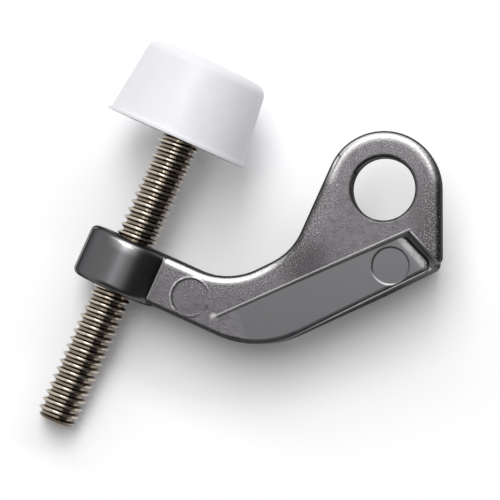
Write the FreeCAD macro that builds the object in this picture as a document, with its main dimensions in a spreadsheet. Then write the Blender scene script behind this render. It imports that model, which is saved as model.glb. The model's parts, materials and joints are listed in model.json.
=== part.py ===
"""Hinge pin door stop: a cast arm with an eye for the hinge pin, a threaded rod and a bumper cap.

Frame, in millimetres: the origin is the centre of the hinge pin bore, on the underside of the eye.
+Z runs along the hinge pin, +Y along the threaded rod towards the bumper, and the arm runs along -X
from the eye's side to the boss. The rod's axis lies a little above the plane of the eye's underside.
"""
import FreeCAD
import Part
import Sketcher
import os

from FreeCAD import Placement, Rotation, Vector

# Driving sizes: millimetres and degrees.
SIZES = {
    # Eye and plate
    "pin_bore_diameter": 9.5,
    "bore_rim_round": 0.5,
    "eye_radius": 8.7,
    "plate_thickness": 4.4,
    # Distance of the rod's axis from the pin's, its height above the eye's underside, and the boss's
    # middle behind the pin
    "rod_offset": 31.6,
    "rod_height": 0.6,
    "boss_setback": 26.7,
    "boss_diameter": 13.8,
    "boss_length": 8.05,
    "boss_round": 1.0,
    "bore_flare": 0.5,
    # Arm: its rear wall behind the boss's middle, its width and its depth below the eye's underside
    "arm_rear_reach": 3.6,
    "arm_width": 7.85,
    "arm_underside": 3.5,
    "arm_root_radius": 10.5,
    # Neck between arm and eye: lean of its front wall, and that wall's distance from the pin
    "neck_angle": 50.3,
    "neck_offset": 2.42,
    "neck_base_radius": 9.2,
    # Plate's far side, tangent to the eye
    "side_angle": 65.7,
    # Foot: lean of its bearing wall, that wall's distance from the pin, and its depth
    "foot_angle": 50.3,
    "foot_offset": 13.95,
    "foot_underside": 11.0,
    "foot_corner_radius": 1.2,
    "heel_length": 10.0,
    "heel_ramp": 14.0,
    "ramp_round": 5.0,
    "bend_radius": 14.4,
    "inner_bend_radius": 5.0,
    # Smooth panel on the foot, sunk a little below the plate towards the foot's end
    "panel_angle": 48.2,
    "panel_offset": 7.43,
    "panel_reach": 6.2,
    "panel_margin": 2.25,
    "panel_drop": 0.9,
    "panel_lap": 1.5,
    "panel_corner_radius": 1.5,
    "groove_width": 0.95,
    "groove_depth": 1.2,
    "notch_draft": 24.0,
    # Step at the casting's parting plane, and the rounding of its edges
    "parting_step": 0.3,
    "edge_round": 1.1,
    "tip_rim_radius": 0.1,
    "panel_edge_round": 0.7,
    "under_round": 0.6,
    # Ejector marks
    "mark_diameter": 5.4,
    "mark_depth": 0.2,
    "arm_mark_from_rod": 11.7,
    "panel_mark_from_end": 7.0,
    "panel_mark_from_edge": 3.5,
    # Threaded rod: outer diameter, length and reach of its tail behind the boss's middle
    "rod_diameter": 6.35,
    "rod_length": 57.15,
    "rod_tail": 26.0,
    "rod_chamfer": 0.8,
    # Thread: one turn's length, its depth, the flats at its crest and root, and its play in the boss
    "thread_pitch": 1.27,
    "thread_depth": 0.69,
    "thread_crest": 0.16,
    "thread_root": 0.32,
    "thread_clearance": 0.08,
    # Bumper cap, pushed on a little off the rod's axis
    "cap_offset": 0.75,
    "cap_rim_diameter": 22.0,
    "cap_front_diameter": 19.0,
    "cap_height": 12.5,
    "cap_front_round": 1.8,
    "cap_lip_width": 0.4,
    "cap_lip_thickness": 0.4,
    "cap_socket_depth": 10.2,
    "cap_clearance": 0.05,
}

# Sizes that follow from the driving ones.
DERIVED = {
    "arm_rear": "boss_setback + arm_rear_reach",
    "arm_front": "arm_rear - arm_width",
    "neck_root_x": "(neck_offset - arm_front * cos(neck_angle)) / sin(neck_angle)",
    "neck_base_y": "-(eye_radius * sin(neck_angle) + neck_offset) / cos(neck_angle)",
    "side_touch_x": "eye_radius * sin(side_angle)",
    # Foot's outer corner, where the plate's far side meets the bearing wall, and the plate's own tip
    "corner_rise": "sin(side_angle + foot_angle)",
    "corner_x": "(eye_radius * cos(foot_angle) + foot_offset * cos(side_angle)) / corner_rise",
    "corner_y": "(eye_radius * sin(foot_angle) - foot_offset * sin(side_angle)) / corner_rise",
    "plate_wall": "foot_offset - parting_step",
    "tip_radius": "edge_round + tip_rim_radius",
    "tip_x": "(eye_radius * cos(foot_angle) + plate_wall * cos(side_angle)) / corner_rise",
    "tip_y": "(eye_radius * sin(foot_angle) - plate_wall * sin(side_angle)) / corner_rise",
    "bend_x": "(foot_offset - arm_rear * cos(foot_angle)) / sin(foot_angle)",
    # Panel's inner corner, and where its inner edge meets the arm's walls
    "panel_corner_y": "(panel_reach * sin(panel_angle) - panel_offset) / cos(panel_angle)",
    "panel_root_x": "(panel_offset - arm_rear * cos(panel_angle)) / sin(panel_angle)",
    "inner_wall": "arm_front + parting_step",
    "inner_bend_x": "(panel_offset - inner_wall * cos(panel_angle)) / sin(panel_angle)",
    "split": "arm_rear - panel_margin",
    "lap_split": "split - panel_lap",
    "lap_root_x": "(panel_offset - panel_lap - lap_split * cos(panel_angle)) / sin(panel_angle)",
    "end_angle": "atan2(corner_y - panel_corner_y; corner_x - panel_reach) / 1 deg",
    "outer_gap": "groove_width / sin(foot_angle - end_angle)",
    "inner_gap": "groove_width / sin(panel_angle - end_angle)",
    "inner_lap": "panel_lap / sin(panel_angle - end_angle)",
    # Positions along the panel's inner edge, counted from the pin
    "foot_end": "corner_x * cos(panel_angle) + corner_y * sin(panel_angle)",
    "panel_start": "(panel_offset - split * cos(panel_angle)) / tan(panel_angle) - split * sin(panel_angle)",
    "panel_floor": "plate_thickness - panel_drop - groove_depth",
    "panel_length": "foot_end + groove_width - panel_start",
    "panel_slope": "atan(panel_drop / panel_length) / 1 deg",
    "mark_along": "foot_end - panel_mark_from_end",
    "mark_across": "panel_offset + panel_mark_from_edge",
    "mark_floor": "plate_thickness - mark_depth",
    "heel_start": "foot_end - heel_length",
    "ramp_start": "heel_start - heel_ramp",
    # Turned pieces, along the rod from the boss's middle
    "rod_radius": "rod_diameter / 2",
    "bore_radius": "rod_radius - thread_depth + thread_clearance",
    "mouth_radius": "rod_radius + thread_clearance + bore_flare",
    "passage_reach": "boss_length / 2 + bore_flare + arm_width",
    # The boss's thread begins a whole number of turns from the rod's own
    "turns_behind_boss": "floor((rod_tail - boss_length / 2) / thread_pitch)",
    "boss_thread_start": "(turns_behind_boss - 0.5) * thread_pitch - rod_tail",
    "rod_end": "rod_length - rod_tail",
    "socket_end": "rod_end + cap_clearance",
    "cap_rim": "socket_end - cap_socket_depth",
    "cap_front": "cap_rim + cap_height",
}

doc = FreeCAD.newDocument("hinge_pin_door_stop")


def make_sheet():
    """The sheet of sizes: driving sizes as plain numbers, then the ones that follow from them."""
    sheet = doc.addObject("Spreadsheet::Sheet", "dims")
    cells = {name: str(value) for name, value in SIZES.items()}
    cells.update({name: "=" + formula for name, formula in DERIVED.items()})
    for row, (name, content) in enumerate(cells.items(), start=1):
        sheet.set(f"A{row}", name)
        sheet.set(f"B{row}", content)
        sheet.setAlias(f"B{row}", name)
    doc.recompute()
    return sheet


sheet = make_sheet()


def size(name):
    """A cell's value as a plain number."""
    return float(sheet.get(name))


def formula(text):
    """The same formula with each cell's name given its sheet."""
    words = []
    word = ""
    for letter in text + " ":
        if letter.isalnum() or letter == "_":
            word += letter
            continue
        words.append("dims." + word if word in SIZES or word in DERIVED else word)
        words.append(letter)
        word = ""
    return "".join(words).strip()


def worth(text):
    """The number that a formula gives."""
    return float(sheet.evalExpression(formula(text)))


def bind(thing, prop, text):
    """Tie a property to a formula of the sheet."""
    thing.setExpression(prop, formula(text))


def new_body(label):
    return doc.addObject("PartDesign::Body", label)


def new_sketch(body, name, role, shift=None, turn=None):
    """A sketch on one of the body's origin planes, shifted and turned by formulas."""
    plane = next(item for item in body.Origin.OriginFeatures if item.Role == role)
    sketch = body.newObject("Sketcher::SketchObject", name)
    sketch.AttachmentSupport = [(plane, "")]
    sketch.MapMode = "FlatFace"
    if turn:
        axis, angle = turn
        sketch.AttachmentOffset = Placement(Vector(), Rotation(axis, worth(angle)))
        bind(sketch, "AttachmentOffset.Rotation.Angle", angle)
    for axis_name, text in (shift or {}).items():
        bind(sketch, "AttachmentOffset.Base." + axis_name, text)
    doc.recompute()
    return sketch


def fix_coordinate(sketch, kind, geometry, end, text):
    """Hold one coordinate of a line's end at a formula, measured from the sketch's origin."""
    axis = -2 if kind == "DistanceX" else -1
    value = worth(text)
    if abs(value) < 1e-9:
        sketch.addConstraint(Sketcher.Constraint("PointOnObject", geometry, end, axis))
        return
    if value > 0:
        constraint = Sketcher.Constraint(kind, -1, 1, geometry, end, value)
    else:
        constraint = Sketcher.Constraint(kind, geometry, end, -1, 1, -value)
    index = sketch.addConstraint(constraint)
    name = f"{kind}_{geometry}_{end}"
    sketch.renameConstraint(index, name)
    bind(sketch, "Constraints." + name, text if value > 0 else f"-({text})")


def polygon(sketch, corners):
    """A closed outline of straight walls, each corner held by two formulas."""
    points = [Vector(worth(x), worth(y), 0) for x, y in corners]
    count = len(points)
    for i, point in enumerate(points):
        sketch.addGeometry(Part.LineSegment(point, points[(i + 1) % count]))
    for i, (x, y) in enumerate(corners):
        sketch.addConstraint(Sketcher.Constraint("Coincident", (i - 1) % count, 2, i, 1))
        fix_coordinate(sketch, "DistanceX", i, 1, x)
        fix_coordinate(sketch, "DistanceY", i, 1, y)
    doc.recompute()


def pad(body, sketch, name, length):
    feature = body.newObject("PartDesign::Pad", name)
    feature.Profile = sketch
    bind(feature, "Length", length)
    doc.recompute()
    return feature


def pocket(body, sketch, name, length=None):
    """A cut of a given depth below its sketch, or right through the body both ways."""
    before = body.Shape.Volume
    feature = body.newObject("PartDesign::Pocket", name)
    feature.Profile = sketch
    if length:
        bind(feature, "Length", length)
    else:
        feature.Type = "ThroughAll"
        feature.SideType = "Symmetric"
    doc.recompute()
    if body.Shape.Volume >= before:
        raise RuntimeError(f"{name} cuts nothing")
    return feature


def turned(body, name, profile, aside="0", kind="Revolution"):
    """A form turned about the rod's axis, or a line beside it; a corner is a radius and a place along it."""
    middle = {"x": f"-rod_offset - {aside}", "y": "-boss_setback", "z": "rod_height"}
    sketch = new_sketch(body, name + "_profile", "XY_Plane", middle)
    polygon(sketch, profile)
    feature = body.newObject("PartDesign::" + kind, name)
    feature.Profile = sketch
    feature.ReferenceAxis = (sketch, ["V_Axis"])
    feature.Angle = 360
    doc.recompute()
    return feature


def wound(body, name, profile, start, length, kind):
    """A right-hand thread wound about the rod's axis from a place along it, with corners as above."""
    middle = {"x": "-rod_offset", "y": f"{start} - boss_setback", "z": "rod_height"}
    sketch = new_sketch(body, name + "_profile", "XY_Plane", middle)
    polygon(sketch, profile)
    feature = body.newObject("PartDesign::" + kind, name)
    feature.Profile = sketch
    feature.ReferenceAxis = (sketch, ["V_Axis"])
    feature.Mode = "pitch-height-angle"
    bind(feature, "Pitch", "thread_pitch")
    bind(feature, "Height", length)
    doc.recompute()
    return feature


def edges_where(body, test):
    """Names of the body's edges that pass a test."""
    return [f"Edge{i}" for i, edge in enumerate(body.Shape.Edges, start=1) if test(edge)]


def soften(body, kind, name, test, amount):
    """A fillet or chamfer on the edges that pass a test."""
    names = edges_where(body, test)
    if not names:
        raise RuntimeError(f"{name} finds no edge")
    base = body.Tip
    feature = body.newObject("PartDesign::" + kind, name)
    feature.Base = (base, names)
    bind(feature, "Radius" if kind == "Fillet" else "Size", amount)
    doc.recompute()
    return feature


def upright_at(x, y):
    """Test for an upright edge at a place in plan."""
    place = Vector(worth(x), worth(y), 0)

    def test(edge):
        return all(Vector(v.X, v.Y, 0).distanceToPoint(place) < 1e-3 for v in edge.Vertexes)

    return test


def circle_at(height, radius, along="z"):
    """Test for a round edge of a given radius, at a height along an axis."""

    def test(edge):
        curve = edge.Curve
        return (
            isinstance(curve, Part.Circle)
            and abs(curve.Radius - worth(radius)) < 1e-3
            and abs(getattr(curve.Center, along) - worth(height)) < 1e-3
        )

    return test


def make_eye_plate():
    """Plate with the eye, the neck and the front strip of the arm, notched for the foot's panel."""
    body = new_body("eye_plate")
    sketch = new_sketch(body, "plate_outline", "XY_Plane")
    corners = [
        ("-rod_offset", "-arm_front"),
        ("neck_root_x", "-arm_front"),
        ("-eye_radius", "neck_base_y"),
        ("-eye_radius", "0"),
        ("side_touch_x", "eye_radius * cos(side_angle)"),
        ("tip_x", "tip_y"),
        ("0", "-plate_wall / cos(foot_angle)"),
        ("-rod_offset / 2", "-split"),
        ("-rod_offset", "-split"),
    ]
    eye = 3
    points = [Vector(worth(x), worth(y), 0) for x, y in corners]
    count = len(points)
    for i, point in enumerate(points):
        following = points[(i + 1) % count]
        if i == eye:
            top = Vector(0, worth("eye_radius"), 0)
            sketch.addGeometry(Part.Arc(point, top, following))
        else:
            sketch.addGeometry(Part.LineSegment(point, following))
    # The arc counts its ends the other way round.
    first_end = {eye: 2}
    last_end = {eye: 1}
    sketch.addConstraint(Sketcher.Constraint("Coincident", eye, 3, -1, 1))
    for i, (x, y) in enumerate(corners):
        before = (i - 1) % count
        joint = Sketcher.Constraint("Coincident", before, last_end.get(before, 2), i, first_end.get(i, 1))
        sketch.addConstraint(joint)
        fix_coordinate(sketch, "DistanceX", i, first_end.get(i, 1), x)
        if i != eye + 1:
            fix_coordinate(sketch, "DistanceY", i, first_end.get(i, 1), y)
    doc.recompute()
    pad(body, sketch, "plate", "plate_thickness")
    soften(body, "Fillet", "arm_root", upright_at("neck_root_x", "-arm_front"), "arm_root_radius")
    soften(body, "Fillet", "neck_base", upright_at("-eye_radius", "neck_base_y"), "neck_base_radius")
    soften(body, "Fillet", "tip", upright_at("tip_x", "tip_y"), "tip_radius")
    soften(body, "Fillet", "upper_edge", circle_at("plate_thickness", "eye_radius"), "edge_round")
    soften(body, "Fillet", "lower_edge", circle_at("0", "eye_radius"), "under_round")

    hole = new_sketch(body, "pin_bore_circle", "XY_Plane")
    hole.addGeometry(Part.Circle(Vector(), Vector(0, 0, 1), worth("pin_bore_diameter / 2")))
    hole.addConstraint(Sketcher.Constraint("Coincident", 0, 3, -1, 1))
    diameter = hole.addConstraint(Sketcher.Constraint("Diameter", 0, worth("pin_bore_diameter")))
    hole.renameConstraint(diameter, "bore")
    bind(hole, "Constraints.bore", "pin_bore_diameter")
    pocket(body, hole, "pin_bore")
    rim = circle_at("plate_thickness", "pin_bore_diameter / 2")
    soften(body, "Fillet", "bore_rim", rim, "bore_rim_round")

    notch = new_sketch(body, "notch_outline", "XY_Plane", {"z": "plate_thickness"})
    polygon(notch, [
        ("panel_root_x", "-arm_rear"),
        ("panel_reach", "panel_corner_y"),
        ("corner_x", "corner_y"),
        ("corner_x", "-arm_rear"),
    ])
    cut = pocket(body, notch, "notch", "panel_drop + groove_depth")
    bind(cut, "TaperAngle", "-notch_draft")
    doc.recompute()
    return body


def make_foot_bar():
    """Bar that runs from the boss along the arm and bends into the foot, with the sunk panel on top."""
    body = new_body("foot_bar")
    low = new_sketch(body, "bar_outline", "XY_Plane", {"z": "-foot_underside"})
    polygon(low, [
        ("-rod_offset", "-arm_rear"),
        ("bend_x", "-arm_rear"),
        ("corner_x", "corner_y"),
        ("panel_reach", "panel_corner_y"),
        ("inner_bend_x", "-inner_wall"),
        ("-rod_offset", "-inner_wall"),
    ])
    pad(body, low, "bar", "foot_underside + panel_floor")
    high = new_sketch(body, "panel_outline", "XY_Plane")
    polygon(high, [
        ("-rod_offset", "-arm_rear"),
        ("bend_x", "-arm_rear"),
        ("corner_x - outer_gap * cos(foot_angle)", "corner_y - outer_gap * sin(foot_angle)"),
        (
            "panel_reach - inner_gap * cos(panel_angle) - inner_lap * cos(end_angle)",
            "panel_corner_y - inner_gap * sin(panel_angle) - inner_lap * sin(end_angle)",
        ),
        ("lap_root_x", "-lap_split"),
        ("-rod_offset", "-lap_split"),
    ])
    pad(body, high, "panel", "plate_thickness")

    along_panel = (Vector(0, 1, 0), "panel_angle")
    slope = new_sketch(body, "panel_slope_profile", "XZ_Plane", turn=along_panel)
    polygon(slope, [
        ("panel_start", "plate_thickness"),
        ("foot_end + groove_width", "plate_thickness - panel_drop"),
        ("foot_end + groove_width", "plate_thickness + panel_drop"),
        ("panel_start", "plate_thickness + panel_drop"),
    ])
    pocket(body, slope, "panel_slope")
    under = new_sketch(body, "underside_profile", "XZ_Plane", turn=along_panel)
    polygon(under, [
        ("heel_start", "-foot_underside"),
        ("ramp_start", "-arm_underside"),
        ("-rod_offset - arm_rear", "-arm_underside"),
        ("-rod_offset - arm_rear", "-foot_underside"),
    ])
    pocket(body, under, "underside")
    soften(body, "Fillet", "ramp_ends", ramp_end, "ramp_round")

    soften(body, "Fillet", "bend", upright_at("bend_x", "-arm_rear"), "bend_radius")
    soften(body, "Fillet", "inner_bend", upright_at("inner_bend_x", "-inner_wall"), "inner_bend_radius")
    panel_corner = upright_at(
        "corner_x - outer_gap * cos(foot_angle)", "corner_y - outer_gap * sin(foot_angle)"
    )
    soften(body, "Fillet", "panel_corner", panel_corner, "panel_corner_radius")
    soften(body, "Fillet", "foot_corner", upright_at("corner_x", "corner_y"), "foot_corner_radius")
    soften(body, "Fillet", "panel_edge", outer_top, "panel_edge_round")
    soften(body, "Fillet", "lower_edges", outer_bottom, "under_round")
    return body


def on_bearing_wall(edge):
    """Test for an edge in the plane of the foot's bearing wall."""
    outward = Vector(worth("sin(foot_angle)"), -worth("cos(foot_angle)"), 0)
    return all(abs(v.Point.dot(outward) - worth("foot_offset")) < 1e-3 for v in edge.Vertexes)


def outer_top(edge):
    """Test for the bearing wall's upper edge."""
    return on_bearing_wall(edge) and min(v.Z for v in edge.Vertexes) > worth("panel_floor") + 1e-3


def outer_bottom(edge):
    """Test for the bearing wall's lower edge, along the heel."""
    return on_bearing_wall(edge) and max(v.Z for v in edge.Vertexes) < -worth("foot_underside") + 1e-3


def ramp_end(edge):
    """Test for the lines across the underside where the ramp to the heel begins and ends."""
    along = Vector(worth("cos(panel_angle)"), worth("sin(panel_angle)"), 0)
    ends = (("ramp_start", "arm_underside"), ("heel_start", "foot_underside"))
    for place, depth in ends:
        if all(
            abs(v.Point.dot(along) - worth(place)) < 1e-3 and abs(v.Z + worth(depth)) < 1e-3
            for v in edge.Vertexes
        ):
            return True
    return False


def make_boss():
    """Round boss that carries the rod."""
    body = new_body("boss")
    ends = ("-boss_length / 2", "boss_length / 2")
    turned(body, "boss_barrel", [
        ("0", ends[0]),
        ("boss_diameter / 2", ends[0]),
        ("boss_diameter / 2", ends[1]),
        ("0", ends[1]),
    ])
    rims = [circle_at(f"{end} - boss_setback", "boss_diameter / 2", "y") for end in ends]
    soften(body, "Fillet", "boss_rims", lambda edge: any(rim(edge) for rim in rims), "boss_round")
    return body


def make_rod_passage():
    """Room that the rod takes through the boss: threaded, flared at its mouths, clear of the arm beyond."""
    body = new_body("rod_passage")
    flare_end = "boss_length / 2 - mouth_radius + bore_radius"
    flare_start = "boss_length / 2 + bore_flare"
    wide = "mouth_radius + bore_flare"
    turned(body, "rod_bore", [
        ("0", "-passage_reach"),
        (wide, "-passage_reach"),
        (wide, f"-({flare_start})"),
        ("bore_radius", f"-({flare_end})"),
        ("bore_radius", flare_end),
        (wide, flare_start),
        (wide, "passage_reach"),
        ("0", "passage_reach"),
    ])
    foot = "((thread_pitch - thread_root) / 2 + thread_clearance)"
    crest = "(thread_crest / 2 + thread_clearance)"
    wound(body, "boss_thread", [
        ("bore_radius - thread_clearance", f"-{foot}"),
        ("bore_radius", f"-{foot}"),
        ("rod_radius + thread_clearance", f"-{crest}"),
        ("rod_radius + thread_clearance", crest),
        ("bore_radius", foot),
        ("bore_radius - thread_clearance", foot),
    ], "boss_thread_start", "boss_length + 2 * thread_pitch", "AdditiveHelix")
    return body


def make_mark(name, x, y, z, lean):
    """Room of a shallow round ejector mark, square to the face it sits in."""
    mark = doc.addObject("Part::Cylinder", name)
    bind(mark, "Radius", "mark_diameter / 2")
    bind(mark, "Height", "2 * mark_depth")
    axis = Vector(-worth("sin(panel_angle)"), worth("cos(panel_angle)"), 0)
    mark.Placement = Placement(Vector(), Rotation(axis, worth(lean)))
    for letter, text in (("x", x), ("y", y), ("z", z)):
        bind(mark, "Placement.Base." + letter, text)
    bind(mark, "Placement.Rotation.Angle", lean)
    doc.recompute()
    return mark


def make_cast_arm():
    """The casting: plate, foot and boss in one piece, bored for the rod."""
    blank = doc.addObject("Part::MultiFuse", "cast_blank")
    blank.Shapes = [make_eye_plate(), make_foot_bar(), make_boss()]
    blank.Refine = True
    doc.recompute()
    rooms = doc.addObject("Part::MultiFuse", "cast_rooms")
    rooms.Shapes = [
        make_rod_passage(),
        make_mark("arm_mark", "arm_mark_from_rod - rod_offset", "-boss_setback", "mark_floor", "0"),
        make_mark(
            "panel_mark",
            "mark_along * cos(panel_angle) + mark_across * sin(panel_angle)",
            "mark_along * sin(panel_angle) - mark_across * cos(panel_angle)",
            "mark_floor - (mark_along - panel_start) * tan(panel_slope)",
            "panel_slope",
        ),
    ]
    doc.recompute()
    arm = doc.addObject("Part::Cut", "cast_arm")
    arm.Base = blank
    arm.Tool = rooms
    arm.Refine = True
    doc.recompute()
    return arm


def make_threaded_rod():
    """The rod, chamfered at both ends and threaded all along."""
    body = new_body("threaded_rod")
    turned(body, "rod", [
        ("0", "-rod_tail"),
        ("rod_radius - rod_chamfer", "-rod_tail"),
        ("rod_radius", "-rod_tail + rod_chamfer"),
        ("rod_radius", "rod_end - rod_chamfer"),
        ("rod_radius - rod_chamfer", "rod_end"),
        ("0", "rod_end"),
    ])
    mouth = "(thread_pitch - thread_crest) / 2"
    blank = body.Shape.Volume
    wound(body, "rod_thread", [
        ("rod_radius - thread_depth", "-thread_root / 2"),
        ("rod_radius", f"-{mouth}"),
        ("rod_radius + thread_clearance", f"-{mouth}"),
        ("rod_radius + thread_clearance", mouth),
        ("rod_radius", mouth),
        ("rod_radius - thread_depth", "thread_root / 2"),
    ], "-rod_tail - thread_pitch", "rod_length + 2 * thread_pitch", "SubtractiveHelix")
    if body.Shape.Volume >= blank:
        raise RuntimeError("rod_thread cuts nothing")
    return body


def make_bumper_cap():
    """The soft cap: a blunt cone with a thin lip at its wide rim and a blind socket for the rod."""
    body = new_body("bumper_cap")
    turned(body, "cap", [
        ("0", "cap_rim"),
        ("cap_rim_diameter / 2 + cap_lip_width", "cap_rim"),
        ("cap_rim_diameter / 2 + cap_lip_width", "cap_rim + cap_lip_thickness"),
        ("cap_rim_diameter / 2", "cap_rim + cap_lip_thickness"),
        ("cap_front_diameter / 2", "cap_front"),
        ("0", "cap_front"),
    ], "cap_offset")
    front = circle_at("cap_front - boss_setback", "cap_front_diameter / 2", "y")
    soften(body, "Fillet", "cap_front_edge", front, "cap_front_round")
    socket = "rod_radius + cap_clearance"
    turned(body, "cap_socket", [
        ("0", "cap_rim"),
        (socket, "cap_rim"),
        (socket, "socket_end"),
        ("0", "socket_end"),
    ], kind="Groove")
    return body


def check(parts):
    """Stop at any feature in error, and at any sub-part whose shape is empty or not valid."""
    for item in doc.Objects:
        if "Invalid" in item.State or "Error" in item.State:
            raise RuntimeError(f"{item.Name}: {item.getStatusString()}")
    for part in parts:
        if part.Shape.isNull() or not part.Shape.isValid() or len(part.Shape.Solids) != 1:
            raise RuntimeError(f"{part.Label} is not one valid solid")


parts = [make_cast_arm(), make_threaded_rod(), make_bumper_cap()]
doc.recompute()
check(parts)
os.makedirs("parts", exist_ok=True)
for part in parts:
    part.Shape.exportStep(f"parts/{part.Label}.step")
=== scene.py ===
"""Hinge pin door stop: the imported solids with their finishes, light and camera."""
import json
import math
from types import SimpleNamespace

import bpy
import numpy as np
from mathutils import Matrix, Vector

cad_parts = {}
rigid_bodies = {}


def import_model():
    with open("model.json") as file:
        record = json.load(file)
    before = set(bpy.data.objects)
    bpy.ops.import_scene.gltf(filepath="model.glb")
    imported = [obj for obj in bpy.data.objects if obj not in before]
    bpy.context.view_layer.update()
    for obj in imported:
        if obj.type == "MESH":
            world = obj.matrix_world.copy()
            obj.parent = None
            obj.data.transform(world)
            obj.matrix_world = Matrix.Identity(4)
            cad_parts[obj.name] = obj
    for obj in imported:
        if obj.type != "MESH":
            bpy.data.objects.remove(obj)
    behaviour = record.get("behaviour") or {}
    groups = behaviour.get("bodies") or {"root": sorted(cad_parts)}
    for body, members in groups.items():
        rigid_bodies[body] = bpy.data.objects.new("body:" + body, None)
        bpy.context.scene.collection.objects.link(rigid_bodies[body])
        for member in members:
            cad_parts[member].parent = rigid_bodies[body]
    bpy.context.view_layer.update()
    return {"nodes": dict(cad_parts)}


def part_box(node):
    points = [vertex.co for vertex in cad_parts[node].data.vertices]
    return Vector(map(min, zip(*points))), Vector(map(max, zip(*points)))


for leftover in list(bpy.data.objects):
    bpy.data.objects.remove(leftover, do_unlink=True)
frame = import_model()
MM = 0.001

# Camera: the lean of its axis from the hinge pin's and its turn about that axis, in degrees, the point it
# looks at, how far it stands from there, and the width it sees there
VIEW_LEAN_X = 7.4
VIEW_LEAN_Y = 1.0
VIEW_TURN = 24.2
VIEW_TARGET = Vector((-15.04, -16.62, 0.0)) * MM
VIEW_DISTANCE = 360.0 * MM
VIEW_WIDTH = 75.93 * MM
SENSOR_WIDTH = 36.0
CLIP_START = 0.01
CLIP_END = 10.0

# Floor: its size and its gap under the part, its colour as it lights the part and as it is seen, and how
# often the three points that the part rests on are looked for
FLOOR_RADIUS = 0.4
FLOOR_CORNERS = 96
FLOOR_GAP = 0.05 * MM
FLOOR_LIGHTING = (0.9, 0.9, 0.91)
FLOOR_SEEN = (1.14, 1.14, 1.155)
RESTING_TRIES = 8

# World: its strength as a light and as it is seen, and the colour of the dark cards in it
WORLD_LIGHTING = 0.3
WORLD_SEEN = 1.0
CARD_TONE = (0.12, 0.12, 0.12, 1.0)

# The rod's box in the frame's metres, its axis and radius in millimetres, as are all lengths below, and the
# axes that lie across the hinge pin and across the rod
ROD_LOW, ROD_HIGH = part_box("threaded_rod")
ROD_AXIS = tuple((ROD_LOW + ROD_HIGH) / 2 / MM)
ROD_RADIUS = (ROD_HIGH.x - ROD_LOW.x) / 2 / MM
ACROSS_PIN = (1.0, 1.0, 0.0)
ACROSS_ROD = (1.0, 0.0, 1.0)

# The eye, and the plate's straight side beyond it
EYE_CENTRE = (0.0, 0.0, 0.0)
EYE_RADIUS = 8.7
SIDE_ANGLE = math.radians(24.3)
SIDE_OUT = (math.cos(SIDE_ANGLE), math.sin(SIDE_ANGLE), 0.0)
SIDE_UP = (-math.sin(SIDE_ANGLE), math.cos(SIDE_ANGLE), 0.0)

# The neck below the eye, where its left edge begins to count, and a patch of painted shade on it
NECK_SPAN = (-14.0, -11.0)
SHADED_NECK_PATCH = (-6.0, -15.0, 0.0)

# The foot's corner, and the way its wall faces
FOOT_CORNER = (12.2, -6.9, 0.0)
FOOT_OUT = (0.38, -0.92, 0.0)

# The concave root of the arm
ROOT_CENTRE = (-20.42, -11.95, 0.0)
ROOT_RADIUS = 10.5

# The seam along the panel's inner edge, how it fades at its ends, and the burr at its start
SEAM_ANGLE = math.radians(48.2)
SEAM_ALONG = (math.cos(SEAM_ANGLE), math.sin(SEAM_ANGLE), 0.0)
SEAM_SIDE = (math.sin(SEAM_ANGLE), -math.cos(SEAM_ANGLE), 0.0)
SEAM_OFFSET = 7.43
SEAM_START = -31.0
SEAM_START_FADE = 0.6
SEAM_END = 1.0
SEAM_END_FADE = 0.5
BURR = (-15.4, -27.9, 0.0)

# The panel's end, the plate's end beyond it, and how far up the notch's walls face
PANEL_END_ANGLE = math.radians(-24.1)
PANEL_END_SIDE = (-math.sin(PANEL_END_ANGLE), math.cos(PANEL_END_ANGLE), 0.0)
PANEL_END_OFFSET = -2.26
PLATE_END_OFFSET = -1.2
NOTCH_UPWARD = math.sin(math.radians(24.0))

# The ejector marks, the sides where their painted highlights and shadows lie, and the middle of the painted
# glint on the boss's rim
ARM_MARK = (-19.9, -26.7, 0.0)
ARM_MARK_LIP = (-0.934, 0.357, 0.0)
PANEL_MARK = (5.67, -10.06, 0.0)
PANEL_MARK_GLINT = (0.114, -0.993, 0.0)
BOSS_GLINT = -31.4

# Spans that mark off the casting's parts: the first value gives a share of none, and the second a share of 1
BOSS_RADIUS_SPAN = (7.3, 7.0)
MARK_RADIUS_SPAN = (3.1, 2.9)
SUNKEN_HEIGHT_SPAN = (4.36, 4.3)
LEVEL_UPWARD_SPAN = (0.9, 0.97)
FACING_UP_SPAN = (0.6, 0.75)
NOTCH_UPWARD_SPAN = (0.05, 0.02)
PANEL_END_SPAN = (-0.8, -0.5)
UPPER_EYE_SPAN = (0.0, 3.5)
EYE_EDGE_SPAN = (0.0, 0.5)
PLATE_END_SPAN = (5.8, 6.4)
FOOT_FACING_SPAN = (0.4, 0.75)
FOOT_CORNER_SPAN = (9.0, 2.0)
LOW_WALL_HEIGHT_SPAN = (3.85, 3.55)
LOW_EDGE_HEIGHT_SPAN = (2.6, 3.3)

# Spans of its painted highlights, glints and shade, of its flecks, pits and dip, and of its burr, by the
# distance inside an edge or from a place
FRONT_HIGHLIGHT_SPAN = (1.6, 0.6)
BOSS_HIGHLIGHT_SPAN = (2.6, 0.7)
EYE_HIGHLIGHT_SPAN = (1.9, 0.4)
END_HIGHLIGHT_SPAN = (1.6, 0.5)
NEAR_EDGE_SPAN = (4.5, 1.2)
LIP_SIDE_SPAN = (-1.5, 1.5)
MARK_GLINT_SPAN = (1.4, 2.5)
MARK_DIP_SPAN = (2.6, 2.95)
BURR_SPAN = (0.75, 0.2)
SHADED_NECK_PATCH_SPAN = (6.0, 1.0)
SHADED_UP_SPAN = (7.0, -6.0)
SHADED_SIDE_SPAN = (6.0, 1.5)

# Spans of the noises that break it up
GRAIN_SPAN = (0.3, 0.75)
FLECK_SPAN = (0.5, 0.7)
PIT_SPAN = (0.46, 0.3)
PATCH_SPAN = (0.42, 0.68)
BURR_PATCH_SPAN = (0.3, 0.5)
END_PATCH_SPAN = (0.3, 0.6)
LIP_PATCH_SPAN = (0.35, 0.6)

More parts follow.
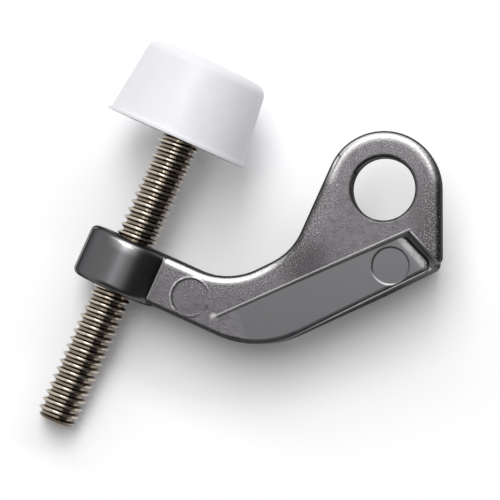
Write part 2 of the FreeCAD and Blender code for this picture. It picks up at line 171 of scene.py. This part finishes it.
# How much of each shows; a pair is its share far from the edges and near them, or off the patches and on them
FLECK_SHARES = (0.2, 0.85)
PIT_SHARES = (0.25, 0.8)
END_PATCH_SHARES = (0.4, 1.0)
PATCH_SHARE = 0.5
BOSS_HIGHLIGHT_SHARE = 0.75
GLINT_SHARE = 0.7
SHADOW_SHARE = 0.8

# Lines on the casting, as the middle of each and how far it reaches to both sides: the seam's painted
# highlight and painted shadow, the plate end's painted highlight, the arm mark's lip with its painted
# highlight, painted shadow and ridge, and the painted glints of the panel's mark and of the boss's rim
SEAM_HIGHLIGHT = (-0.28, 0.16)
SEAM_SHADOW = (0.05, 0.22)
PLATE_END_HIGHLIGHT = (PLATE_END_OFFSET, 0.16)
LIP_HIGHLIGHT = (3.05, 0.2)
LIP_SHADOW = (2.72, 0.2)
LIP_RIDGE = (2.9, 0.3)
MARK_GLINT_LINE = (2.85, 0.22)
BOSS_GLINT_LINE = (BOSS_GLINT, 3.4)

# Colours of the casting, with its painted shade, sparkle and highlights, its sides painted near black as
# shade, the foot's low wall painted lighter as a reflection, and the tint of its outline; a pair is the two
# ends of a mottle, or the low wall far from the foot's corner and at it
CAST_TONES = ((0.092, 0.087, 0.092), (0.122, 0.116, 0.122))
PATCH_TONE = (0.066, 0.062, 0.067)
PAINTED_SHADE_TONE = (0.055, 0.052, 0.055)
PANEL_TONES = ((0.075, 0.075, 0.078), (0.086, 0.086, 0.089))
BOSS_TONES = ((0.106, 0.103, 0.107), (0.122, 0.119, 0.123))
SPARKLE_TONE = (0.34, 0.325, 0.335)
PIT_TONE = (0.035, 0.032, 0.036)
GLINT_TONE = (0.42, 0.41, 0.42)
SHADOW_TONE = (0.015, 0.015, 0.016)
EDGE_HIGHLIGHT_TONE = (0.5, 0.49, 0.5)
SIDE_SHADE_TONES = ((0.042, 0.04, 0.043), (0.065, 0.062, 0.066))
LOW_WALL_REFLECTION_TONES = ((0.13, 0.128, 0.13), (0.26, 0.256, 0.26))
LOW_EDGE_HIGHLIGHT_TONE = (0.55, 0.54, 0.55)
NOTCH_TONES = ((0.18, 0.178, 0.18), (0.24, 0.236, 0.24))
OUTLINE_TINT = (0.2, 0.2, 0.2, 1.0)

# Roughness of the casting, and the heights of its fine relief
GRAIN_ROUGHNESS = (0.34, 0.48)
PANEL_ROUGHNESS = 0.38
BOSS_ROUGHNESS = 0.31
HIGHLIGHT_EDGE_ROUGHNESS = 0.25
GRAIN_HEIGHT = 0.045
SMOOTH_GRAIN_HEIGHT = 0.004
SEAM_HEIGHT = 0.03
LIP_HEIGHT = 0.05
MARK_DIP = -0.08

# The rod's plating: its colours, with its flanks painted dark as shade, the radii between root and flank, the
# depths below the crest between flank and crest, its roughness and its relief
CREST_TONE = (0.52, 0.46, 0.385)
FLANK_SHADE_TONE = (0.08, 0.062, 0.047)
THREAD_ROOT_TONE = (0.28, 0.23, 0.18)
FLANK_RADIUS_SPAN = (2.5, 2.62)
CREST_DEPTH_SPAN = (0.325, 0.055)
PLATING_ROUGHNESS = (0.14, 0.24)
PLATING_RELIEF = 0.008

# The cap's rubber: the two ends of its mottle, its roughness, its relief, and how much light goes into it,
# how deep, and how deep for each colour
RUBBER_TONES = ((0.84, 0.84, 0.87), (0.89, 0.89, 0.91))
RUBBER_ROUGHNESS = (0.36, 0.5)
RUBBER_RELIEF = 0.006
RUBBER_LIGHT_SHARE = 0.2
RUBBER_LIGHT_DEPTH = 1.5
RUBBER_LIGHT_COLOURS = (1.0, 0.9, 0.85)

# The span of the noises that vary the roughness of the plating and the rubber
SHEEN_SPAN = (0.3, 0.7)

# A distance inside the edge that counts as far from it, and one that is beyond the whole part
FAR_INSIDE = 10.0
BEYOND_PART = 1000.0


class Finish:
    """A material's node tree, with short ways to add nodes and join them."""

    def __init__(self, name):
        self.material = bpy.data.materials.new(name)
        self.material.use_nodes = True
        self.tree = self.material.node_tree
        self.surface = self.tree.nodes["Principled BSDF"]
        coordinates = self.add("TexCoord")
        self.place = self.vector("SCALE", coordinates.outputs["Object"], scale=1 / MM)
        self.normal = coordinates.outputs["Normal"]

    def add(self, kind, **settings):
        """A new node with its settings."""
        node = self.tree.nodes.new("ShaderNode" + kind)
        for key, value in settings.items():
            setattr(node, key, value)
        return node

    def feed(self, socket, value):
        """Join a socket to another node's output, or give it a plain value."""
        if isinstance(value, bpy.types.NodeSocket):
            self.tree.links.new(value, socket)
        else:
            socket.default_value = value

    def vector(self, operation, first, second=None, scale=None):
        """A vector, a length or a product made from one vector or two."""
        node = self.add("VectorMath", operation=operation)
        self.feed(node.inputs[0], first)
        if second is not None:
            self.feed(node.inputs[1], second)
        if scale is not None:
            self.feed(node.inputs["Scale"], scale)
        return node.outputs["Value" if operation in ("DOT_PRODUCT", "LENGTH") else "Vector"]

    def parts(self, value):
        """A vector's three parts."""
        node = self.add("SeparateXYZ")
        self.feed(node.inputs[0], value)
        return node.outputs

    def math(self, operation, first, second=0.0):
        """A number made from one or two others."""
        node = self.add("Math", operation=operation)
        self.feed(node.inputs[0], first)
        self.feed(node.inputs[1], second)
        return node.outputs["Value"]

    def fold(self, operation, first, *others):
        """Several numbers taken together, one after the other, by the same operation."""
        for other in others:
            first = self.math(operation, first, other)
        return first

    def within(self, *shares):
        """The product of several shares."""
        return self.fold("MULTIPLY", *shares)

    def largest(self, *values):
        """The largest of several numbers."""
        return self.fold("MAXIMUM", *values)

    def smallest(self, *values):
        """The smallest of several numbers."""
        return self.fold("MINIMUM", *values)

    def gap(self, first, second):
        """How far two numbers are apart."""
        return self.math("ABSOLUTE", self.math("SUBTRACT", first, second))

    def ramp(self, value, start, end, low=0.0, high=1.0):
        """A value between start and end, carried smoothly to one between low and high."""
        node = self.add("MapRange", interpolation_type="SMOOTHSTEP")
        self.feed(node.inputs["Value"], value)
        node.inputs["From Min"].default_value = start
        node.inputs["From Max"].default_value = end
        self.feed(node.inputs["To Min"], low)
        self.feed(node.inputs["To Max"], high)
        return node.outputs["Result"]

    def mix(self, share, first, second):
        """A number that goes smoothly from the first to the second as a share grows."""
        return self.ramp(share, 0.0, 1.0, first, second)

    def band(self, value, middle, reach):
        """A share that is 1 at the middle of a band and none from its reach outwards."""
        return self.ramp(self.gap(value, middle), reach, 0.0)

    def along(self, direction, start=None):
        """How far a place lies along a direction, from a start or from the frame's origin."""
        place = self.place if start is None else self.vector("SUBTRACT", self.place, start)
        return self.vector("DOT_PRODUCT", place, direction)

    def away_from(self, centre, across=ACROSS_PIN):
        """Distance from a line through a centre: along the hinge pin, or with other axes across it."""
        offset = self.vector("SUBTRACT", self.place, centre)
        return self.vector("LENGTH", self.vector("MULTIPLY", offset, across))

    def noise(self, scale, detail, roughness):
        """Cloudy noise around 0.5."""
        node = self.add("TexNoise")
        self.feed(node.inputs["Vector"], self.place)
        node.inputs["Scale"].default_value = scale
        node.inputs["Detail"].default_value = detail
        node.inputs["Roughness"].default_value = roughness
        return node.outputs["Fac"]

    def blend(self, share, first, second):
        """A colour between two others."""
        node = self.add("Mix", data_type="RGBA")
        self.feed(node.inputs["Factor"], share)
        for name, colour in (("A", first), ("B", second)):
            joined = isinstance(colour, bpy.types.NodeSocket)
            self.feed(node.inputs[name], colour if joined else (*colour, 1.0))
        return node.outputs["Result"]

    def crown(self, inside, reach, slope):
        """Fall of a face towards its edge: none at its reach, and steepest at the edge."""
        short = self.largest(self.math("SUBTRACT", reach, inside), 0.0)
        return self.within(short, short, -slope / (2 * reach))

    def relief(self, height, depth=1.0, normal=None):
        """A bump, with the depth that stands for a height of 1."""
        node = self.add("Bump")
        node.inputs["Distance"].default_value = depth * MM
        self.feed(node.inputs["Height"], height)
        if normal is not None:
            self.feed(node.inputs["Normal"], normal)
        return node.outputs["Normal"]

    def set(self, **values):
        """Set the surface's sockets; a name's underscores stand for spaces."""
        for key, value in values.items():
            self.feed(self.surface.inputs[key.replace("_", " ")], value)


def inside_front(finish):
    """Distance inside the arm's front edge, along its straight and round its concave root."""
    offset = finish.vector("SUBTRACT", finish.place, ROOT_CENTRE)
    offset = finish.vector("MULTIPLY", offset, ACROSS_PIN)
    # Along the straight, towards the boss, only the distance along the rod counts
    offset = finish.vector("MAXIMUM", offset, (0.0, -BEYOND_PART, 0.0))
    return finish.math("SUBTRACT", finish.vector("LENGTH", offset), ROOT_RADIUS)


def casting_places(finish):
    """Where a point of the casting lies: distances, shares of its parts, and its noises."""
    at = SimpleNamespace()
    at.across, along, at.height = finish.parts(finish.place)
    at.upward = finish.parts(finish.normal)[2]
    at.boss = finish.ramp(finish.away_from(ROD_AXIS, ACROSS_ROD), *BOSS_RADIUS_SPAN)
    at.buffed = finish.ramp(at.upward, *FACING_UP_SPAN)

    at.from_arm_mark = finish.away_from(ARM_MARK)
    at.from_panel_mark = finish.away_from(PANEL_MARK)
    at.marks = finish.ramp(finish.smallest(at.from_arm_mark, at.from_panel_mark), *MARK_RADIUS_SPAN)
    off_arm_mark = finish.ramp(at.from_arm_mark, *reversed(MARK_RADIUS_SPAN))
    sunken = finish.within(finish.ramp(at.height, *SUNKEN_HEIGHT_SPAN), off_arm_mark)
    at.panel = finish.within(sunken, finish.ramp(at.upward, *LEVEL_UPWARD_SPAN))
    at.notch = finish.within(finish.ramp(finish.gap(at.upward, NOTCH_UPWARD), *NOTCH_UPWARD_SPAN), sunken)
    at.smooth = finish.largest(at.boss, at.panel)

    at.past_seam = finish.math("SUBTRACT", finish.along(SEAM_SIDE), SEAM_OFFSET)
    along_seam = finish.along(SEAM_ALONG)
    at.on_seam = finish.within(
        finish.ramp(along_seam, SEAM_START - SEAM_START_FADE, SEAM_START),
        finish.ramp(along_seam, SEAM_END + SEAM_END_FADE, SEAM_END),
    )
    at.past_end = finish.along(PANEL_END_SIDE)
    at.inside_end = finish.math("SUBTRACT", PANEL_END_OFFSET, at.past_end)
    at.panel_end = finish.within(sunken, finish.ramp(at.inside_end, *PANEL_END_SPAN))

    # Distances inside the edges: the arm's front, the eye's upper half, the plate's side and the neck
    at.front = inside_front(finish)
    at.above_eye = finish.along(SIDE_UP)
    at.upper_eye = finish.ramp(at.above_eye, *UPPER_EYE_SPAN)
    at.eye = finish.math("SUBTRACT", EYE_RADIUS, finish.away_from(EYE_CENTRE))
    at.side = finish.math("SUBTRACT", EYE_RADIUS, finish.along(SIDE_OUT))
    neck = finish.ramp(along, *NECK_SPAN, FAR_INSIDE, finish.math("ADD", at.across, EYE_RADIUS))
    eye_above = finish.ramp(at.upper_eye, *EYE_EDGE_SPAN, FAR_INSIDE, at.eye)
    at.inside_edge = finish.smallest(neck, at.side, eye_above, at.front)

    at.grain = finish.noise(scale=3.0, detail=4.0, roughness=0.75)
    at.fine = finish.noise(scale=5.0, detail=3.0, roughness=0.6)
    at.mottle = finish.noise(scale=0.25, detail=3.0, roughness=0.55)
    at.patchy = finish.noise(scale=0.9, detail=3.0, roughness=0.6)
    return at


def casting_painted_light_and_pits(finish, at):
    """Shares of the casting's painted highlights and shadows, painted sparkle, pits and painted shade."""
    wear = SimpleNamespace()
    # Painted highlights along the seam, the plate's end, the arm mark's lip on its lit side, the panel mark's
    # rim and the burr, and painted shadows beside the seam and inside the lip
    wear.seam = finish.within(finish.band(at.past_seam, *SEAM_HIGHLIGHT), at.on_seam)
    seam_shadow = finish.within(finish.band(at.past_seam, *SEAM_SHADOW), at.on_seam)
    plate_end = finish.ramp(at.across, *PLATE_END_SPAN)
    plate_end = finish.within(finish.band(at.past_end, *PLATE_END_HIGHLIGHT), plate_end)
    lip_share = finish.ramp(finish.along(ARM_MARK_LIP, ARM_MARK), *LIP_SIDE_SPAN)
    lip = finish.within(finish.band(at.from_arm_mark, *LIP_HIGHLIGHT), lip_share)
    lip_shadow = finish.within(finish.band(at.from_arm_mark, *LIP_SHADOW), lip_share)
    glint_share = finish.ramp(finish.along(PANEL_MARK_GLINT, PANEL_MARK), *MARK_GLINT_SPAN)
    mark_glint = finish.within(finish.band(at.from_panel_mark, *MARK_GLINT_LINE), glint_share)
    burr = finish.ramp(finish.away_from(BURR), *BURR_SPAN)
    burr = finish.within(burr, finish.ramp(at.patchy, *BURR_PATCH_SPAN))
    wear.glints = finish.largest(wear.seam, plate_end, lip, mark_glint, burr)
    wear.shadows = finish.largest(seam_shadow, lip_shadow)

    # Painted highlights along the edges that face the lamps: the arm's front, the boss's rim by the rod, the
    # eye's upper rim and the panel's end
    boss_rim_highlight = finish.ramp(at.front, *BOSS_HIGHLIGHT_SPAN, 0.0, BOSS_HIGHLIGHT_SHARE)
    boss_rim_highlight = finish.within(boss_rim_highlight, finish.band(at.across, *BOSS_GLINT_LINE))
    worn_front = finish.mix(at.boss, finish.ramp(at.front, *FRONT_HIGHLIGHT_SPAN), boss_rim_highlight)
    worn_eye = finish.within(finish.ramp(at.eye, *EYE_HIGHLIGHT_SPAN), at.upper_eye)
    end_patches = finish.ramp(at.patchy, *END_PATCH_SPAN, *END_PATCH_SHARES)
    worn_end = finish.within(finish.ramp(at.inside_end, *END_HIGHLIGHT_SPAN), end_patches, at.panel_end)
    wear.worn = finish.within(finish.largest(worn_front, worn_eye, worn_end), at.buffed)

    # Flecks painted light as sparkle highlights, more of them near the edges, and dark pits, both only where
    # the casting is rough
    rough_cast = finish.mix(at.smooth, 1.0, 0.0)
    fleck_share = finish.ramp(at.inside_edge, *NEAR_EDGE_SPAN, *FLECK_SHARES)
    wear.flecks = finish.within(finish.ramp(at.fine, *FLECK_SPAN, 0.0, fleck_share), rough_cast)
    pit_share = finish.ramp(at.inside_edge, *NEAR_EDGE_SPAN, *PIT_SHARES)
    wear.pits = finish.within(finish.ramp(at.fine, *PIT_SPAN, 0.0, pit_share), rough_cast)
    # Painted shade along the plate's straight side, strongest below the eye, and on a patch of the neck
    side_shade = finish.ramp(at.above_eye, *SHADED_UP_SPAN)
    side_shade = finish.within(side_shade, finish.ramp(at.side, *SHADED_SIDE_SPAN))
    wear.dull = finish.largest(side_shade, finish.ramp(finish.away_from(SHADED_NECK_PATCH), *SHADED_NECK_PATCH_SPAN))
    return wear


def casting_tone(finish, at, wear):
    """Colour of the casting: its layers above, its sides painted near black as shade, the foot's low wall
    with painted reflection, and the notch's walls.
    """

    def mottled(tones):
        return finish.blend(at.mottle, *tones)

    above = mottled(CAST_TONES)
    # Layers over the mottle: random patches, painted shade, the panel's and the boss's tones, painted
    # sparkle, pits, painted highlights and shadows, and painted highlights on the lit edges
    layers = (
        (finish.ramp(at.patchy, *PATCH_SPAN, 0.0, PATCH_SHARE), PATCH_TONE),
        (wear.dull, PAINTED_SHADE_TONE),
        (at.panel, mottled(PANEL_TONES)),
        (at.boss, mottled(BOSS_TONES)),
        (wear.flecks, SPARKLE_TONE),
        (wear.pits, PIT_TONE),
        (finish.within(wear.glints, GLINT_SHARE), GLINT_TONE),
        (finish.within(wear.shadows, SHADOW_SHARE), SHADOW_TONE),
        (wear.worn, EDGE_HIGHLIGHT_TONE),
    )
    for share, layer in layers:
        above = finish.blend(share, above, layer)

    # The sides are painted near black as shade; the foot's wall that faces outwards is painted lighter as a
    # reflection, lighter still at its top edge and at the foot's corner
    low_wall = finish.ramp(finish.vector("DOT_PRODUCT", finish.normal, FOOT_OUT), *FOOT_FACING_SPAN)
    low_wall = finish.within(low_wall, finish.ramp(at.height, *LOW_WALL_HEIGHT_SPAN))
    at_corner = finish.ramp(finish.away_from(FOOT_CORNER), *FOOT_CORNER_SPAN)
    low_wall_reflection = finish.blend(at_corner, *LOW_WALL_REFLECTION_TONES)
    low_wall_reflection = finish.blend(finish.ramp(at.height, *LOW_EDGE_HEIGHT_SPAN), low_wall_reflection, LOW_EDGE_HIGHLIGHT_TONE)
    sides = finish.blend(low_wall, mottled(SIDE_SHADE_TONES), low_wall_reflection)
    tone = finish.blend(finish.largest(at.buffed, at.boss, at.marks), sides, above)
    return finish.blend(at.notch, tone, mottled(NOTCH_TONES))


def casting_roughness(finish, at, wear):
    """Roughness of the casting: its grain's, and that of its panel, its boss and its edges with painted
    highlights.
    """
    rough = finish.ramp(at.grain, *GRAIN_SPAN, *GRAIN_ROUGHNESS)
    smoother = ((at.panel, PANEL_ROUGHNESS), (at.boss, BOSS_ROUGHNESS), (wear.worn, HIGHLIGHT_EDGE_ROUGHNESS))
    for share, value in smoother:
        rough = finish.mix(share, rough, value)
    return rough


def casting_relief(finish, at, wear):
    """Fine relief of the casting: the fall at the panel's end, the seam, the marks and the grain."""
    end_fall = finish.crown(finish.largest(at.inside_end, PANEL_END_SPAN[1]), reach=2.0, slope=0.5)
    end_fall = finish.within(end_fall, at.panel_end)
    lip_patches = finish.ramp(at.patchy, *LIP_PATCH_SPAN)
    lip = finish.within(finish.band(at.from_arm_mark, *LIP_RIDGE), lip_patches, LIP_HEIGHT)
    dip = finish.ramp(at.from_panel_mark, *MARK_DIP_SPAN, MARK_DIP, 0.0)
    ridges = finish.fold("ADD", finish.within(wear.seam, SEAM_HEIGHT), lip, dip)
    shape = finish.relief(finish.math("ADD", end_fall, ridges))
    grain_height = finish.mix(at.smooth, GRAIN_HEIGHT, SMOOTH_GRAIN_HEIGHT)
    return finish.relief(finish.within(at.grain, grain_height), normal=shape)


def cast_metal():
    """Dark casting: grained above with painted highlights on its lit edges, smoother on its panel and boss,
    painted near black down its sides as shade.
    """
    finish = Finish("cast_metal_finish")
    at = casting_places(finish)
    wear = casting_painted_light_and_pits(finish, at)
    finish.set(
        Base_Color=casting_tone(finish, at, wear),
        Metallic=finish.mix(at.notch, 1.0, 0.0),
        Specular_Tint=OUTLINE_TINT,
        Roughness=casting_roughness(finish, at, wear),
        Normal=casting_relief(finish, at, wear),
    )
    return finish.material


def plated_steel():
    """Bright plating on the thread's rounded crests, painted dark on its flanks as shade, and brown in its
    roots.
    """
    finish = Finish("plated_steel_finish")
    radius = finish.away_from(ROD_AXIS, ACROSS_ROD)
    below_crest = finish.math("SUBTRACT", ROD_RADIUS, radius)
    # The flanks are painted dark as shade, between the lighter roots and the crests
    thread = finish.blend(finish.ramp(radius, *FLANK_RADIUS_SPAN), THREAD_ROOT_TONE, FLANK_SHADE_TONE)
    wear = finish.noise(scale=1.1, detail=4.0, roughness=0.6)
    scuffs = finish.noise(scale=3.0, detail=3.0, roughness=0.6)
    rounding = finish.relief(finish.crown(below_crest, reach=0.3, slope=1.6))
    finish.set(
        Base_Color=finish.blend(finish.ramp(below_crest, *CREST_DEPTH_SPAN), thread, CREST_TONE),
        Metallic=1.0,
        Roughness=finish.ramp(wear, *SHEEN_SPAN, *PLATING_ROUGHNESS),
        Normal=finish.relief(scuffs, PLATING_RELIEF, rounding),
    )
    return finish.material


def white_rubber():
    """Soft white moulding with a faint mottle."""
    finish = Finish("white_rubber_finish")
    mottle = finish.noise(scale=0.35, detail=3.0, roughness=0.5)
    sheen = finish.noise(scale=1.5, detail=3.0, roughness=0.5)
    skin = finish.noise(scale=2.2, detail=3.0, roughness=0.5)
    finish.set(
        Base_Color=finish.blend(mottle, *RUBBER_TONES),
        Roughness=finish.ramp(sheen, *SHEEN_SPAN, *RUBBER_ROUGHNESS),
        Subsurface_Weight=RUBBER_LIGHT_SHARE,
        Subsurface_Radius=RUBBER_LIGHT_COLOURS,
        Subsurface_Scale=RUBBER_LIGHT_DEPTH * MM,
        Normal=finish.relief(skin, RUBBER_RELIEF),
    )
    return finish.material


def dress(node, material):
    """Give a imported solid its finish."""
    solid = frame["nodes"][node]
    solid.data.materials.clear()
    solid.data.materials.append(material)


def lowest_point(node, normal):
    """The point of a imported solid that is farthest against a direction."""
    solid = frame["nodes"][node]
    places = np.empty(3 * len(solid.data.vertices))
    solid.data.vertices.foreach_get("co", places)
    turn = np.array(solid.matrix_world)
    places = places.reshape(-1, 3) @ turn[:3, :3].T + turn[:3, 3]
    return Vector(places[np.argmin(places @ np.array(normal))])


def resting_plane():
    """The plane that the part rests on as it lies, on its cap, its rod and its arm."""
    normal = Vector((0.0, 0.0, 1.0))
    for _ in range(RESTING_TRIES):
        rim, tail, heel = (lowest_point(node, normal) for node in ("bumper_cap", "threaded_rod", "cast_arm"))
        normal = (heel - tail).cross(rim - tail).normalized()
        if normal.z < 0:
            normal = -normal
    return tail, normal


def seen_share(tree):
    """The share of rays by which the camera, metal or glass shows a surface."""
    path = tree.nodes.new("ShaderNodeLightPath")
    seen = path.outputs["Is Camera Ray"]
    for ray in ("Is Glossy Ray", "Is Transmission Ray"):
        either = tree.nodes.new("ShaderNodeMath")
        either.operation = "MAXIMUM"
        tree.links.new(seen, either.inputs[0])
        tree.links.new(path.outputs[ray], either.inputs[1])
        seen = either.outputs["Value"]
    return seen


def make_floor():
    """A pale round floor under the part, as it lies in the picture."""
    tail, normal = resting_plane()
    centre = VIEW_TARGET + normal * ((tail - VIEW_TARGET).dot(normal) - FLOOR_GAP)
    bpy.ops.mesh.primitive_circle_add(
        vertices=FLOOR_CORNERS, radius=FLOOR_RADIUS, fill_type="NGON", location=centre,
    )
    floor = bpy.context.object
    floor.name = "floor"
    floor.rotation_mode = "QUATERNION"
    floor.rotation_quaternion = normal.to_track_quat("Z", "Y")
    finish = Finish("floor_finish")
    matt = finish.add("BsdfDiffuse")
    finish.feed(matt.inputs["Color"], finish.blend(seen_share(finish.tree), FLOOR_LIGHTING, FLOOR_SEEN))
    finish.feed(finish.tree.nodes["Material Output"].inputs["Surface"], matt.outputs["BSDF"])
    floor.data.materials.append(finish.material)


def make_world():
    """An even white surround, dim as a light and white where the camera, metal or glass shows it."""
    world = bpy.data.worlds.new("studio")
    bpy.context.scene.world = world
    world.use_nodes = True
    tree = world.node_tree
    ground = tree.nodes["Background"]
    strength = tree.nodes.new("ShaderNodeMapRange")
    strength.inputs["To Min"].default_value = WORLD_LIGHTING
    strength.inputs["To Max"].default_value = WORLD_SEEN
    tree.links.new(seen_share(tree), strength.inputs["Value"])
    ground.inputs["Color"].default_value = (1.0, 1.0, 1.0, 1.0)
    tree.links.new(strength.outputs["Result"], ground.inputs["Strength"])


def set_facing(thing, direction, distance, axis):
    """Set a lamp or a card off from the middle of the part, with an axis of its own pointing there."""
    direction = Vector(direction).normalized()
    thing.location = VIEW_TARGET + direction * distance
    thing.rotation_mode = "QUATERNION"
    thing.rotation_quaternion = (-direction).to_track_quat(axis, "Y")


def area_light(name, direction, distance, size, power):
    """A soft box that faces the middle of the part."""
    data = bpy.data.lights.new(name, "AREA")
    data.shape = "RECTANGLE"
    data.size, data.size_y = size
    data.energy = power
    lamp = bpy.data.objects.new(name, data)
    bpy.context.scene.collection.objects.link(lamp)
    set_facing(lamp, direction, distance, "-Z")


def dark_card(name, direction, distance, size):
    """A dark grey card beside the part, out of the camera's sight, which the metal's dark side mirrors."""
    bpy.ops.mesh.primitive_plane_add(size=1.0)
    card = bpy.context.object
    card.name = name
    card.scale = (*size, 1.0)
    set_facing(card, direction, distance, "Z")
    finish = Finish(name + "_finish")
    finish.set(Base_Color=CARD_TONE, Roughness=1.0, Specular_IOR_Level=0.0)
    card.data.materials.append(finish.material)
    card.visible_camera = False
    card.visible_diffuse = False
    card.visible_shadow = False


def picture_axes():
    """The picture's right, up and towards-the-camera directions in the part's frame."""
    lean_x, lean_y, turn = (math.radians(angle) for angle in (VIEW_LEAN_X, VIEW_LEAN_Y, VIEW_TURN))
    back = Vector((
        math.sin(lean_x) * math.cos(lean_y),
        math.sin(lean_y),
        math.cos(lean_x) * math.cos(lean_y),
    ))
    along = Vector((0, 1, 0)) - back * back.y
    along.normalize()
    across = along.cross(back)
    up = along * math.cos(turn) - across * math.sin(turn)
    right = up.cross(back)
    return right, up, back


def make_camera():
    """A camera at the picture's angle, which sees the view's width at the view's distance."""
    data = bpy.data.cameras.new("camera")
    data.sensor_width = SENSOR_WIDTH
    data.lens = SENSOR_WIDTH * VIEW_DISTANCE / VIEW_WIDTH
    data.clip_start = CLIP_START
    data.clip_end = CLIP_END
    camera = bpy.data.objects.new("camera", data)
    bpy.context.scene.collection.objects.link(camera)
    right, up, back = picture_axes()
    turn = Matrix((right, up, back)).transposed()
    camera.matrix_world = Matrix.Translation(VIEW_TARGET + back * VIEW_DISTANCE) @ turn.to_4x4()
    bpy.context.scene.camera = camera


dress("threaded_rod", plated_steel())
dress("cast_arm", cast_metal())
dress("bumper_cap", white_rubber())
make_floor()
area_light("key_light", direction=(-0.2, 0.42, 1.0), distance=0.6, size=(0.26, 0.5), power=1.9)
area_light("edge_light", direction=(-0.1, 0.8, 0.6), distance=0.6, size=(1.3, 0.14), power=1.6)
dark_card("right_card", direction=(0.9, 0.0, 0.45), distance=0.3, size=(1.4, 0.5))
dark_card("near_card", direction=(0.0, -0.85, 0.5), distance=0.3, size=(0.4, 0.4))
make_world()
make_camera()
bpy.context.scene.view_settings.view_transform = "Standard"
